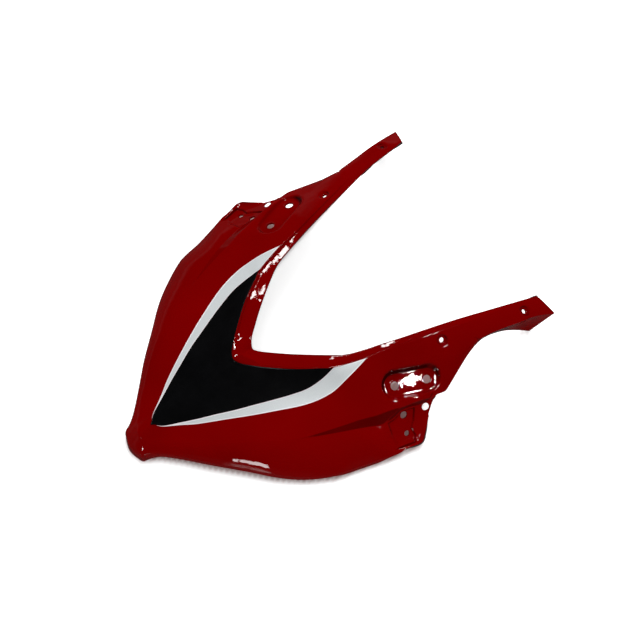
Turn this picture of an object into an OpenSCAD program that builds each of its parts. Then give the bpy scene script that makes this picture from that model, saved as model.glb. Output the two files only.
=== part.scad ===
// Upper nose cowl of a sport motorcycle, lying with its painted face up.
// The cowl is one moulded skin. It is swept from station 0 on the centre line round to the arm tip at
// station 26. Named lines cross every station, from the screen rim to the lower edge, and the skin
// is stretched over them. The other half of the width is its mirror image.

/* [Cowl] */
// Length from the beak to the arm tips
cowl_length = 539.4; // [440:1:640]
// Width across the side flanges
cowl_width = 405.8; // [340:1:480]
// Height of the screen rim above the ground as the cowl lies
cowl_height = 82.2; // [70:1:105]
// Wall thickness of the moulding
wall = 2.6; // [2:0.1:3.6]

/* [Screen rim] */
// Depth of the step that the windscreen sits against
rim_step = 2.6; // [1:0.1:4]
// Run of the step wall, measured towards the rim
rim_step_run = 1.6; // [0.8:0.1:3]

/* [Lower edge] */
// Height of the turned-down lip under the headlight edge
lip_height = 9; // [4:0.5:14]
// How far the lip leans outwards at its bottom
lip_flare = 1.6; // [0:0.1:4]

/* [Mirror pockets] */
// Distance between the two mirror stay holes
mirror_pitch = 42; // [34:0.5:50]
// Diameter of the mirror stay holes
mirror_hole_d = 10.6; // [8:0.1:13]
// Diameter of the raised ring round each mirror hole
mirror_ring_d = 15; // [14:0.5:18]
// Height of the ring above the pocket floor
mirror_ring_h = 0.7; // [0.4:0.1:1.5]
// Radius of the flat pocket floor at each hole
pocket_floor_r = 13.5; // [12:0.5:15]
// Radius of the pocket mouth at each hole
pocket_mouth_r = 21; // [18:0.5:23]
// Depth of the pocket floor below the painted face
pocket_depth = 6; // [4:0.5:9]
// Turn of the pocket's long axis away from straight back
pocket_turn = 24.3; // [10:0.2:32]
// Fall of the pocket floor towards the rear
pocket_fall = 7.2; // [0:0.5:12]
// Fall of the pocket floor towards the side
pocket_lean = 24; // [14:0.5:32]

/* [Screw holes] */
// Diameter of the screw holes in the arms
screw_hole_d = 6; // [4:0.1:8]
// Diameter of the sunk seat round each arm screw
screw_seat_d = 13; // [11:0.5:16]
// Depth of the sunk seat
screw_seat_depth = 2; // [1:0.1:3]
// Diameter of the two upper holes in the side flange
flange_hole_d = 9.3; // [6:0.1:11]
// Distance between the two upper holes in the side flange
flange_pitch = 29.4; // [26:0.2:33]
// Turn of the line through those two holes away from straight back
flange_turn = 16.5; // [12:0.5:20]
// Fall of that line towards the rear
flange_fall = 10.4; // [6:0.2:14]
// Fall of the flange towards the side
flange_lean = 36; // [30:0.5:42]
// Diameter of the low hole in the side flange
flange_low_d = 7; // [5:0.1:9]
// Depth of the sunk pad round the front and the low hole
pad_depth = 2; // [1:0.1:3]

/* [Films] */
// Thickness of the coloured films
film = 0.2; // [0.1:0.05:0.4]

/* [Hidden] */
$fn = 48;
cowl_red = [0.44, 0.01, 0.015];
film_black = [0.02, 0.02, 0.02];
film_silver = [0.78, 0.82, 0.84];

// The lines below are drawn for this size, with y = 0 at the corners of the beak's lower lip.
drawn_length = 539.4;
drawn_width = 405.8;
drawn_height = 82.2;
drawn_middle = 260.6;
tip_station = 26;

// Each line is a list of [station, x, y, z]. Points between them follow a smooth curve.
// A line without z lies on the crowned face between the rim line and the crease.
// Inner edge of the screen rim
rim_edge = [
    [0, 0, 180, 71], [1, 6, 182.5, 74], [2, 12.6, 188, 76], [4, 25.5, 202.5, 77],
    [6, 38, 217.5, 77.6], [9, 61.6, 249, 78], [11, 73, 267, 77.4], [13, 80.5, 288, 77],
    [15, 88, 313, 78], [17, 94.5, 335, 77.2], [19, 103.6, 369, 75.8], [21, 113.5, 407, 71.8],
    [23, 125, 448, 66], [25, 136.5, 498, 51.5], [26, 141.4, 518.8, 45.5]
];
// Top of the step behind the rim
rim_line = [
    [0, 0, 154, 80], [1, 8, 157, 79.6], [2, 16, 164, 79.8], [4, 31, 180, 80.3], [7, 53, 206.5, 82.2],
    [9, 69, 230.5, 81.6], [11, 78.5, 246, 81.5], [13, 91.2, 285.5, 81], [15, 97.5, 314, 80.6],
    [17, 103.4, 335, 79.4], [19, 112, 368, 77.2], [21, 122.5, 407, 73.4], [23, 131.5, 446, 66.5],
    [25, 140, 498, 51.5], [26, 145.2, 520.4, 42.9]
];
// Lower edge of the black field, which meets the rim line at station 11
field_end = 11;
field_edge = [
    [0, 0, 30], [0.3, 3, 33.5], [1, 10, 41], [2, 20, 60.5], [3, 30, 80.5], [4, 39.4, 101], [5, 48.7, 121],
    [6, 57, 142], [7, 65.3, 163], [8, 73, 184], [9, 79, 205], [10, 80.3, 226], [11, 78.5, 246]
];
// Lower edge of the silver stripe, from station 1 to the rim line at station 13
stripe_start = 1;
stripe_end = 13;
stripe_edge = [
    [1, 10, 41], [2, 22.5, 59], [3, 33.5, 75], [4, 44.6, 94.5], [5, 55.7, 115], [6, 66.5, 135.5],
    [7, 76.4, 156], [8, 89.6, 185], [9, 96.5, 206], [10, 99.6, 226], [11, 98.8, 241], [12, 95.6, 264],
    [13, 91.2, 285.5]
];
// Ridge of the arm. Ahead of it the same line runs on down the crowned side.
ridge_start = 14.5;
ridge_end = 17.5;
ridge = [
    [0, 0, 20, 38], [1, 13, 31, 36], [2, 25.5, 49, 41], [4, 56, 87, 51], [6, 85, 134, 58],
    [8, 109, 187, 60], [10, 121, 232, 63], [13, 127, 287, 65], [15, 132, 311, 63], [17, 139, 335, 58],
    [19, 145.5, 368, 57.5], [20, 147.5, 390, 58.6], [21, 147.3, 410, 60.6],
    [22, 148.7, 427, 60.2], [23, 152, 448, 57], [24, 156.5, 471, 52], [25, 161, 498, 44.5],
    [26, 169.3, 530.3, 26.5]
];
// Crown of the face between the rim line and the crease at each station, highest half way, and how far it
// leans towards the crease
crown_height = [
    [0, 4.2], [1.5, 3.6], [3, 1.6], [4, -0.6], [5, -2.2], [6, -3.8], [7, -4.3], [8, -3.2], [9, -1.8],
    [10, -0.4], [11, 1], [12, 1.8], [13, 1.4], [15, 0]
];
crown_lean = [
    [0, 1], [3, 0.6], [5, 1.8], [7, 3.1], [8.5, 3.9], [10, 2.6], [11, 0], [12, -2], [13.5, 0]
];
// Crease along the side, which becomes the top of the step down to the flange
crease = [
    [0, 0, 12, 36], [1, 17, 20, 32.5], [2, 29.5, 37.5, 36.4], [4, 66, 79.5, 47.5], [6, 100, 131, 55],
    [7, 117.5, 158, 55.2], [8, 129, 190, 54.6], [9, 137, 217, 54.6], [10, 143, 238, 54.2],
    [11, 149, 255, 53], [12, 153.5, 272, 51], [13, 158, 288, 48.5], [15, 164, 312, 47],
    [16.7, 169, 329, 41.5], [17, 169.7, 332.6, 39.7]
];
// Lower side of the tapered facet under the crease, which turns up to meet the crease at station 13
facet_start = 7;
facet_end = 13;
facet_line = [
    [7, 117.5, 158, 55.2], [8, 132, 188, 53.2], [9, 143, 211.5, 52.4], [10, 152, 234, 47.6],
    [11, 159.6, 253, 41], [11.4, 161.4, 260, 40.4], [12, 159.8, 272, 44], [13, 158, 288, 48.5]
];
// Foot of the step down to the flange
flange_start = 11.4;
flange_foot = [
    [11.4, 161.4, 260, 40.4], [12, 162.2, 272, 41], [13, 161, 288, 43.4], [15, 167, 311, 38.6],
    [16.7, 170.3, 328, 37.6], [17, 169.7, 332.6, 39.7]
];
// Lower edge of the side, then the rear edge of the flange, then the foot of the arm's outer wall
shoulder_station = 17;
side_edge = [
    [0, 0, -7.5, 17], [0.8, 18.5, -2.4, 18.4], [1, 21, 0.5, 18.6], [1.3, 24, 8, 20], [2, 34, 22, 24.5],
    [3, 54, 42, 28.6], [4, 80, 66, 31.8], [5, 108, 94, 31.2], [6, 135, 120, 29],
    [7, 156, 146, 25.6], [8, 174.5, 178, 25], [9, 184, 211, 20.8], [10, 192, 238, 21.2],
    [12, 200.5, 273, 23.2], [12.7, 203.5, 285, 23.4], [13, 202.5, 290.5, 23.6], [13.3, 199.5, 294.4, 24.4],
    [15, 183, 314, 27.5], [15.2, 181.4, 312.8, 28.4], [17, 169.7, 332.6, 39.7], [18, 171.3, 347.7, 37],
    [18.3, 169.4, 353.5, 38.4], [20, 154.5, 391, 50.4], [21, 149.5, 408, 54.6], [21.4, 146.6, 418, 45],
    [22, 144.5, 429, 36], [23, 143.6, 449, 19.5], [24, 148.6, 468.5, 13], [25, 156.6, 486, 5],
    [26, 165, 499, 0]
];
// Height of the lip at each station, as a share of lip_height
lip_share = [
    [0, 1.55], [1, 2.05], [1.5, 1.3], [2, 0.8], [3, 0.9], [7, 1], [8, 0.35], [8.4, 1], [9.6, 1.1],
    [10.4, 0.3], [11.6, 0], [26, 0]
];
// Height of the rim step at each station, as a share of rim_step
rim_share = [[0, 1], [17, 1], [20, 0.7], [21.5, 0], [26, 0]];
// Hollow of the side below the crease, at one third and at two thirds of the way down.
// A negative hollow is a bulge.
upper_hollow = [[0, 0], [3, -1.4], [6, -3.6], [10, -4.2], [11.4, 0], [13, 3.4], [15, 0.5], [17, 0]];
lower_hollow = [[0, 0], [3, -1.6], [6, -4], [10, -4], [11.4, 1.5], [13, 6.6], [15, 0.7], [17, 0]];

// Places of the holes on the skin, as [station, row counted from the rim]
pocket_place = [15.3, 8.66];
arm_screw_place = [19.3, 6.6];
tip_screw_place = [24.7, 7.1];
flange_place = [14.05, 12.6];
flange_low_place = [12.4, 13.7];
// Outline of the sunk pad, seen square to the flange from the middle between its two upper holes
pad_outline = [
    [1.5, -38], [0, -30], [-6, -17], [-6, -8], [-5, 2], [11.5, -3.5], [19, -8.5], [29, -6.5], [37, -11],
    [37, -37]
];

// Sizes that follow from the ones above
stretch = [cowl_width / drawn_width, cowl_length / drawn_length, cowl_height / drawn_height];
mid_wall = wall / 2;
seat_r = screw_seat_d / 2;
boss_r = seat_r + wall;
reach_through = 14;
tiny = 0.001;
edge_bulge = 0.6;         // bulge of the flat strips between the rows
near_apart = 0.6;         // least distance between the points that a normal is taken from
place_step = 0.2;         // step along the skin for the slope at a hole

// Point on a line at a station, on a smooth curve through the line's points.
function last(list) = len(list) - 1;
function spot(line, i) = [line[i][1], line[i][2], len(line[i]) > 3 ? line[i][3] : 0];
function span(line, u) = max([0, each [for (k = [0 : last(line) - 1]) if (line[k][0] <= u) k]]);
function run(line, a, b) = (spot(line, b) - spot(line, a)) / (line[b][0] - line[a][0]);
function tangent(line, i) =
    i == 0 && line[0][0] == 0 ? [spot(line, 1).x / line[1][0], 0, 0]
    : i == 0 ? run(line, 0, 1)
    : i == last(line) ? run(line, i - 1, i)
    : run(line, i - 1, i + 1);
function blend(p, q, dp, dq, t) =
    (2 * t ^ 3 - 3 * t ^ 2 + 1) * p + (t ^ 3 - 2 * t ^ 2 + t) * dp
    + (3 * t ^ 2 - 2 * t ^ 3) * q + (t ^ 3 - t ^ 2) * dq;
function curve(line, u) =
    let (i = span(line, u), w = line[i + 1][0] - line[i][0], t = (u - line[i][0]) / w)
    blend(spot(line, i), spot(line, i + 1), tangent(line, i) * w, tangent(line, i + 1) * w, t);
function fit(p) = [p.x * stretch.x, (p.y - drawn_middle) * stretch.y, p.z * stretch.z];
function on(line, u) = fit(curve(line, u));
function share(p, q, t, bulge) = p + (q - p) * t + [0, 0, 4 * bulge * t * (1 - t)];
function flat_unit(v) = let (f = [v.x, v.y, 0]) f / max(norm(f), tiny);
function lower(p, h) = p - [0, 0, h];

// Height of the crowned face over a point between the rim line s and the crease c.
function crown_at(u, t) = (lookup(u, crown_height) + lookup(u, crown_lean) * (2 * t - 1)) * stretch.z;
function on_face(p, s, c, u) =
    let (chord = [c.x - s.x, c.y - s.y], t = [p.x - s.x, p.y - s.y] * chord / (chord * chord))
    [p.x, p.y, s.z + (c.z - s.z) * t + 4 * t * (1 - t) * crown_at(u, t)];
function smooth_share(u, lo, hi) = let (t = min(max((u - lo) / (hi - lo), 0), 1)) t * t * (3 - 2 * t);

// All the points of one station, from the rim to the lip.
step_row = 2;
field_row = 5;
stripe_row = 6;
crease_row = 10;
function section(u) =
    let (
        n = on(rim_edge, u),
        s = on(rim_line, u),
        foot = lower(s + flat_unit(n - s) * rim_step_run, rim_step * lookup(u, rim_share)),
        e = on(side_edge, u),
        c = u < shoulder_station ? on(crease, u) : e,
        b = u < field_end ? on_face(on(field_edge, u), s, c, u) : s,
        t = u < stripe_start ? b : u < stripe_end ? on_face(on(stripe_edge, u), s, c, u) : s,
        sharp = on(ridge, u),
        on_arm = smooth_share(u, ridge_start, ridge_end),
        r = on_face(sharp, s, c, u) * (1 - on_arm) + sharp * on_arm,
        d = u < facet_start || u > facet_end ? c : on(facet_line, u),
        f = u < flange_start || u > shoulder_station ? d : on(flange_foot, u),
        drop = lip_height * lookup(u, lip_share),
        lip = lower(e + flat_unit(e - r) * lip_flare, drop),
        nose = function(k) u < field_end ? on_face(s + (b - s) * k, s, c, u) : s,
        face = function(a, b, k)
            on_face(a + (b - a) * k, s, c, u) * (1 - on_arm) + share(a, b, k, edge_bulge) * on_arm
    )
    [
        n, foot, s, nose(1 / 3), nose(2 / 3), b, t, face(t, r, 1 / 2), r, face(r, c, 1 / 2), c, d, f,
        lower(share(f, e, 1 / 3, 0), lookup(u, upper_hollow)),
        lower(share(f, e, 2 / 3, 0), lookup(u, lower_hollow)),
        e,
        drop == 0 ? e : above_ground(lip)
    ];
function mirrored(p) = [-p.x, p.y, p.z];
function station(u) = u < 0 ? [for (p = section(-u)) mirrored(p)] : section(u);

// Way into the skin at grid point i, j: square to the lines that lead to the nearest points apart.
function apart(grid, i, j, di, dj, from) =
    let (a = i + di, b = j + dj)
    a < 0 || b < 0 || a > last(grid) || b > last(grid[0]) ? grid[i][j]
    : norm(grid[a][b] - from) > near_apart ? grid[a][b]
    : apart(grid, a, b, di, dj, from);
function first_there(grid, i, j) =
    j > 0 && norm(grid[i][j] - grid[i][j - 1]) < tiny ? first_there(grid, i, j - 1) : j;
function facing(grid, i, k) =
    let (
        j = first_there(grid, i, k),
        p = grid[i][j],
        across = apart(grid, i, j, 0, 1, p) - apart(grid, i, j, 0, -1, p),
        along = apart(grid, i, j, 1, 0, p) - apart(grid, i, j, -1, 0, p),
        n = cross(along, across)
    )
    n / max(norm(n), tiny);
function above_ground(p) = [p.x, p.y, max(p.z, 0)];
function shifted(grid, by) =
    [for (i = [0 : last(grid)])
        [for (j = [0 : last(grid[0])]) above_ground(grid[i][j] + facing(grid, i, j) * by)]];

// Closed solid between two grids of the same size. Triangles that have shrunk to a line are left out.
function cell(a, b, c, d) = [[a, c, b], [a, d, c]];
function same(points, a, b) = norm(points[a] - points[b]) < tiny;
module between_grids(top, bottom) {
    n = len(top);
    m = len(top[0]);
    size = n * m;
    points = concat([for (row = top) each row], [for (row = bottom) each row]);
    cells = [
        for (i = [0 : n - 2], j = [0 : m - 2])
            let (a = i * m + j, b = a + m)
            each concat(cell(a, a + 1, b + 1, b), cell(size + a, size + b, size + b + 1, size + a + 1)),
        for (i = [0 : n - 2])
            let (a = i * m, b = a + m, c = a + m - 1, d = b + m - 1)
            each concat(cell(a, b, size + b, size + a), cell(c, size + c, size + d, d)),
        for (j = [0 : m - 2])
            let (a = j, c = (n - 1) * m + j)
            each concat(cell(a, size + a, size + a + 1, a + 1), cell(c, c + 1, size + c + 1, size + c))
    ];
    faces = [
        for (f = cells)
            if (!same(points, f[0], f[1]) && !same(points, f[1], f[2]) && !same(points, f[2], f[0])) f
    ];
    polyhedron(points, faces);
}

function both_ways(list) = concat([for (k = [last(list) : -1 : 1]) -list[k]], list);
half_stations = concat([0, 0.3, 0.65], [for (k = [2 : 2 * tip_station]) k / 2]);
stations = both_ways(half_stations);
skin = [for (u = stations) station(u)];
function rows(grid, from, to) = [for (row = grid) [for (j = [from : to]) row[j]]];
function picked(grid, lo, hi) =
    [for (i = [0 : last(grid)]) if (stations[i] >= lo && stations[i] <= hi) grid[i]];

// Frame of a place on the skin: its point and the way the painted face looks there.
function on_skin(place) =
    let (u = place[0], j = floor(place[1]), t = place[1] - j, row = section(u))
    share(row[j], row[j + 1], t, 0);
function outward_at(place) =
    let (
        d = place_step,
        along = on_skin([place[0] + d, place[1]]) - on_skin([place[0] - d, place[1]]),
        across = on_skin([place[0], place[1] + d]) - on_skin([place[0], place[1] - d]),
        n = cross(along, across)
    )
    n.z > 0 ? n / norm(n) : -n / norm(n);
module square_to_skin(place) {
    n = outward_at(place);
    translate(on_skin(place)) rotate([0, acos(n.z), atan2(n.y, n.x)]) children();
}
module pocket_frame() {
    translate(on_skin(pocket_place)) rotate([-pocket_fall, pocket_lean, -pocket_turn])
        translate([0, 0, -pocket_depth]) children();
}
module flange_frame() {
    translate(on_skin(flange_place)) rotate([-flange_fall, flange_lean, -flange_turn]) children();
}
module both_sides() {
    children();
    mirror([1, 0, 0]) children();
}
module in_pair(pitch) {
    for (end = [-1, 1]) translate([0, end * pitch / 2, 0]) children();
}

// Block under the painted face round the pocket, used to trim the pocket's outer wall.
pocket_from = 11.5;
pocket_to = 18.5;
module under_skin() {
    patch = rows(picked(skin, pocket_from, pocket_to), stripe_row, crease_row + 2);
    depth = 2 * (pocket_depth + wall) + mid_wall;
    top = [for (row = patch) [for (p = row) lower(p, mid_wall)]];
    between_grids(top, [for (row = patch) [for (p = row) above_ground(lower(p, depth))]]);
}
// The wall of the pocket opens from the floor radius to the mouth radius at this height over the floor.
mouth_rise = pocket_depth + 3.6;
cut_rise = pocket_depth + 10;
function pocket_r(z) = pocket_floor_r + (pocket_mouth_r - pocket_floor_r) * z / mouth_rise;
module pocket_cone(grown, low_z, high_z) {
    pocket_frame() hull() in_pair(mirror_pitch) translate([0, 0, low_z])
        cylinder(h = high_z - low_z, r1 = pocket_r(max(low_z, 0)) + grown, r2 = pocket_r(high_z) + grown,
            $fn = 32);
}
module pocket_wall() {
    intersection() {
        pocket_cone(wall, -wall, cut_rise);
        under_skin();
    }
}
module pocket_hollow() pocket_cone(0, 0, cut_rise);
module mirror_rings() {
    pocket_frame() in_pair(mirror_pitch) translate([0, 0, -mid_wall])
        cylinder(h = mid_wall + mirror_ring_h, d = mirror_ring_d);
}
module flange_pad(grown, low_z, high_z) {
    flange_frame() translate([0, 0, low_z])
        linear_extrude(high_z - low_z) offset(delta = grown) polygon(pad_outline);
}
module screw_boss(place) {
    square_to_skin(place) translate([0, 0, -screw_seat_depth - wall])
        cylinder(h = screw_seat_depth + mid_wall, r = boss_r);
}
module screw_seat(place) {
    square_to_skin(place) translate([0, 0, -screw_seat_depth]) cylinder(h = reach_through, r = seat_r);
}
module drill(d) {
    translate([0, 0, -reach_through]) cylinder(h = 2 * reach_through, d = d);
}

module pressed_skin() {
    difference() {
        union() {
            between_grids(skin, shifted(skin, wall));
            both_sides() {
                pocket_wall();
                screw_boss(arm_screw_place);
                screw_boss(tip_screw_place);
                flange_pad(wall, -pad_depth - wall, -mid_wall);
            }
        }
        both_sides() {
            pocket_hollow();
            screw_seat(arm_screw_place);
            screw_seat(tip_screw_place);
            flange_pad(0, -pad_depth, wall);
        }
    }
}
module shell() color(cowl_red) {
    difference() {
        union() {
            pressed_skin();
            both_sides() mirror_rings();
        }
        both_sides() {
            pocket_frame() in_pair(mirror_pitch) drill(mirror_hole_d);
            square_to_skin(arm_screw_place) drill(screw_hole_d);
            square_to_skin(tip_screw_place) drill(screw_hole_d);
            flange_frame() in_pair(flange_pitch) drill(flange_hole_d);
            square_to_skin(flange_low_place) drill(flange_low_d);
        }
    }
}

// Thin film on the painted face, between two lines and two stations.
module film_patch(from_row, to_row, lo, hi) {
    skin_part = rows(picked(skin, lo, hi), from_row, to_row);
    raised = rows(picked(shifted(skin, -film), lo, hi), from_row, to_row);
    between_grids(raised, skin_part);
}
module black_field() color(film_black) film_patch(step_row, field_row, -field_end, field_end);
module left_stripe() color(film_silver) film_patch(field_row, stripe_row, stripe_start, stripe_end);
module right_stripe() color(film_silver) film_patch(field_row, stripe_row, -stripe_end, -stripe_start);

shell();
black_field();
left_stripe();
right_stripe();
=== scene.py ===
import math
import bpy
import numpy as np
from mathutils import Matrix, Vector


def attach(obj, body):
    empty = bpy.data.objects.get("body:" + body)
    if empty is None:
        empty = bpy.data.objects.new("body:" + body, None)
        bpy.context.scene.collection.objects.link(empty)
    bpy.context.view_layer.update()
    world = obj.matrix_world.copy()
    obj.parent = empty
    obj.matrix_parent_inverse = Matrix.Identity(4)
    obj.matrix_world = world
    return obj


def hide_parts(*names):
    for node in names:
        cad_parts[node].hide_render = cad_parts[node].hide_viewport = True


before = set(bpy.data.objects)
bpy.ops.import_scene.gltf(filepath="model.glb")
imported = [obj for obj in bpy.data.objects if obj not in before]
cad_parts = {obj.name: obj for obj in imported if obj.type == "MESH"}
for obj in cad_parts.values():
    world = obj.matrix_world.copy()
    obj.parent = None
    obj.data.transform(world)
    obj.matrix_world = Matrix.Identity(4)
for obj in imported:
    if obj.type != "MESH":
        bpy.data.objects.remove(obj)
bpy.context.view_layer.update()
print("frame loaded")

mm = 0.001

# The cowl's lines, in millimetres: [station, x, y, z], with y = 0 at the corners of the beak's
# lower lip. Station 0 is the centre line and station 26 is the arm tip.
cowl = {
    "middle": 260.6,          # y of the frame's origin on the lines below
    "tipStation": 26,
    "wall": 2.6,
    "rimStep": 2.6,
    "rimStepRun": 1.6,
    "lipHeight": 9,
    "lipFlare": 1.6,
    "fieldEnd": 11,
    "stripeStart": 0.5,
    "stripeEnd": 13,
    "facetStart": 7,
    "facetEnd": 13,
    "flangeStart": 11.4,
    "shoulder": 17,
    "armSpan": [14.5, 18],    # here the crowned side turns into the two flat strips of the arm
    "armCrown": 0.6,          # height of the crown of each of those strips
    "rimEdge": [
        [0, 0, 180, 71], [1, 6, 182.5, 74], [2, 12.6, 188, 76], [4, 25.5, 202.5, 77],
        [6, 38, 217.5, 77.6], [9, 61.6, 249, 78], [11, 73, 267, 77.4], [13, 80.5, 288, 77],
        [15, 88, 313, 78], [17, 94.5, 335, 77.2], [19, 103.6, 369, 75.8], [21, 113.5, 407, 71.8],
        [23, 125, 448, 66], [25, 136.5, 498, 51.5], [26, 141.4, 518.8, 45.5]],
    "rimLine": [
        [0, 0, 154, 80], [1, 8, 157, 79.6], [2, 16, 164, 79.8], [4, 31, 180, 80.3],
        [7, 53, 206.5, 82.2],
        [9, 69, 230.5, 81.6], [11, 78.5, 246, 81.5], [13, 91.2, 285.5, 81], [15, 97.5, 314, 80.6],
        [17, 103.4, 335, 79.4], [19, 112, 368, 77.2], [21, 122.5, 407, 73.4], [23, 131.5, 446, 66.5],
        [25, 140, 498, 51.5], [26, 145.2, 520.4, 42.9]],
    "fieldEdge": [
        [0, 0, 30, 0], [0.3, 3, 33.5, 0], [1, 10, 41, 0], [2, 20, 60.5, 0], [3, 30, 80.5, 0],
        [4, 39.4, 101, 0], [5, 48.7, 121, 0], [6, 57, 142, 0], [7, 65.3, 163, 0],
        [8, 73, 184, 0], [9, 79, 205, 0], [10, 80.3, 226, 0], [11, 78.5, 246, 0]],
    "stripeEdge": [
        [0.5, 5.3, 35.1, 0], [1, 10.6, 40.5, 0], [2, 22.5, 59, 0], [3, 33.5, 75, 0],
        [4, 44.6, 94.5, 0],
        [5, 55.7, 115, 0], [6, 66.5, 135.5, 0], [7, 76.4, 156, 0], [8, 89.6, 185, 0],
        [9, 96.5, 206, 0], [10, 99.6, 226, 0], [11, 98.8, 241, 0], [12, 95.6, 264, 0],
        [13, 91.2, 285.5, 0]],
    "ridge": [
        [17, 139, 335, 58], [19, 145.5, 368, 57.5], [20, 147.5, 390, 58.6], [21, 147.3, 410, 60.6],
        [22, 148.7, 427, 60.2], [23, 152, 448, 57], [24, 156.5, 471, 52], [25, 161, 498, 44.5],
        [26, 169.3, 530.3, 26.5]],
    "crease": [
        [0, 0, 12, 36], [1, 17, 20, 32.5], [2, 29.5, 37.5, 36.4], [4, 66, 79.5, 47.5],
        [6, 100, 131, 55],
        [7, 117.5, 158, 55.2], [8, 129, 190, 54.6], [9, 137, 217, 54.6], [10, 143, 238, 54.2],
        [11, 149, 255, 53], [12, 153.5, 272, 51], [13, 158, 288, 48.5], [15, 164, 312, 47],
        [16.7, 169, 329, 41.5], [17, 169.7, 332.6, 39.7]],
    "facetLine": [
        [7, 117.5, 158, 55.2], [8, 132, 188, 53.2], [9, 143, 211.5, 52.4], [10, 152, 234, 47.6],
        [11, 159.6, 253, 41], [11.4, 161.4, 260, 40.4], [12, 159.8, 272, 44], [13, 158, 288, 48.5]],
    "flangeFoot": [
        [11.4, 161.4, 260, 40.4], [12, 162.2, 272, 41], [13, 161, 288, 43.4], [15, 167, 311, 38.6],
        [16.7, 170.3, 328, 37.6], [17, 169.7, 332.6, 39.7]],
    "sideEdge": [
        [0, 0, -7.5, 17], [0.8, 18.5, -2.4, 18.4], [1, 21, 0.5, 18.6], [1.3, 24, 8, 20],
        [2, 34, 22, 24.5], [3, 54, 42, 28.6], [4, 80, 66, 31.8], [5, 108, 94, 31.2], [6, 135, 120, 29],
        [7, 156, 146, 25.6], [8, 174.5, 178, 25], [9, 184, 211, 20.8], [10, 192, 238, 21.2],
        [12, 200.5, 273, 23.2], [12.7, 203.5, 285, 23.4], [13, 202.5, 290.5, 23.6],
        [13.3, 199.5, 294.4, 24.4], [15, 183, 313.6, 27.5], [15.2, 180.7, 314.6, 28.8],
        [17, 169.7, 332.6, 39.7], [18, 171.3, 347.7, 37], [18.3, 169.4, 353.5, 38.4],
        [20, 154.5, 391, 50.4], [21, 149.5, 408, 54.6], [21.4, 146.6, 418, 45], [22, 144.5, 429, 36],
        [23, 143.6, 449, 19.5], [24, 148.6, 468.5, 13], [25, 156.6, 486, 5], [26, 165, 499, 0]],
    # Shares and heights along the stations: [station, value]
    "crown": [[0, 4.2], [1.5, 3.6], [3, 1.6], [5, -2.2], [7, -4.3], [9, -1.8], [11, 1],
              [12.3, 1.7], [15, 0], [26, 0]],
    "crownLean": [[0, 1], [3, 0.6], [5, 1.8], [7, 3.1], [8.5, 3.7], [10, 2.6], [11.5, -1],
                  [12.5, -1.5], [14, 0], [26, 0]],
    "sideBulge": [[0, 0], [3, 1.7], [6, 4.0], [10, 3.7], [11.4, -0.8], [13, -5.6], [15, -0.7],
                  [17, 0], [26, 0]],
    "sideLean": [[0, 0], [3, 0.3], [6, 0.7], [10, -0.3], [11.4, -2.5], [13, -5.4], [15, -0.3],
                 [17, 0], [26, 0]],
    "lipShare": [[0, 1.55], [1, 2.05], [1.5, 1.3], [2, 0.8], [3, 0.9], [7, 1], [8, 0.35],
                 [8.4, 1], [9.6, 1.1], [10.4, 0.3], [11.6, 0], [26, 0]],
    "rimShare": [[0, 1], [17, 1], [20, 0.7], [21.5, 0], [26, 0]],
}


# A line as a smooth curve: between two of its points it is the cubic whose ends have the slope
# from the point before to the point after. On the centre line the slope is straight across, so
# both halves join.
def curveAt(line, u):
    line = np.asarray(line, float)
    s, p = line[:, 0], line[:, 1:]
    slope = np.empty_like(p)
    slope[1:-1] = (p[2:] - p[:-2]) / (s[2:] - s[:-2])[:, None]
    slope[0] = (p[1] - p[0]) / (s[1] - s[0])
    slope[-1] = (p[-1] - p[-2]) / (s[-1] - s[-2])
    if s[0] == 0 and p.shape[1] == 3:
        slope[0] = (p[1, 0] / s[1], 0, 0)
    u = np.clip(u, s[0], s[-1])
    i = np.clip(np.searchsorted(s, u, side="right") - 1, 0, len(s) - 2)
    w = (s[i + 1] - s[i])[:, None]
    t = ((u - s[i]) / (s[i + 1] - s[i]))[:, None]
    a, b = slope[i] * w, slope[i + 1] * w
    return (2 * t**3 - 3 * t**2 + 1) * p[i] + (t**3 - 2 * t**2 + t) * a \
        + (3 * t**2 - 2 * t**3) * p[i + 1] + (t**3 - t**2) * b


# A table read at u, with straight lines between its rows.
def lookUp(table, u):
    table = np.asarray(table, float)
    return np.interp(u, table[:, 0], table[:, 1])


# The same with a smooth curve through its rows.
def smoothLook(table, u):
    return curveAt(table, u)[:, 0]


# Height of the skin between two points of a station: the straight chord, plus a crown that is
# highest half way, plus a lean that moves the crown towards the far end. t is the share of the
# way across.
def crowned(zFrom, zTo, t, crown, lean):
    return zFrom + (zTo - zFrom) * t + 4 * t * (1 - t) * (crown + lean * (2 * t - 1))


# Directions in plan, one unit long.
def flatUnit(v):
    f = v.copy()
    f[:, 2] = 0
    return f / np.maximum(np.linalg.norm(f, axis=1), 1e-6)[:, None]


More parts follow.
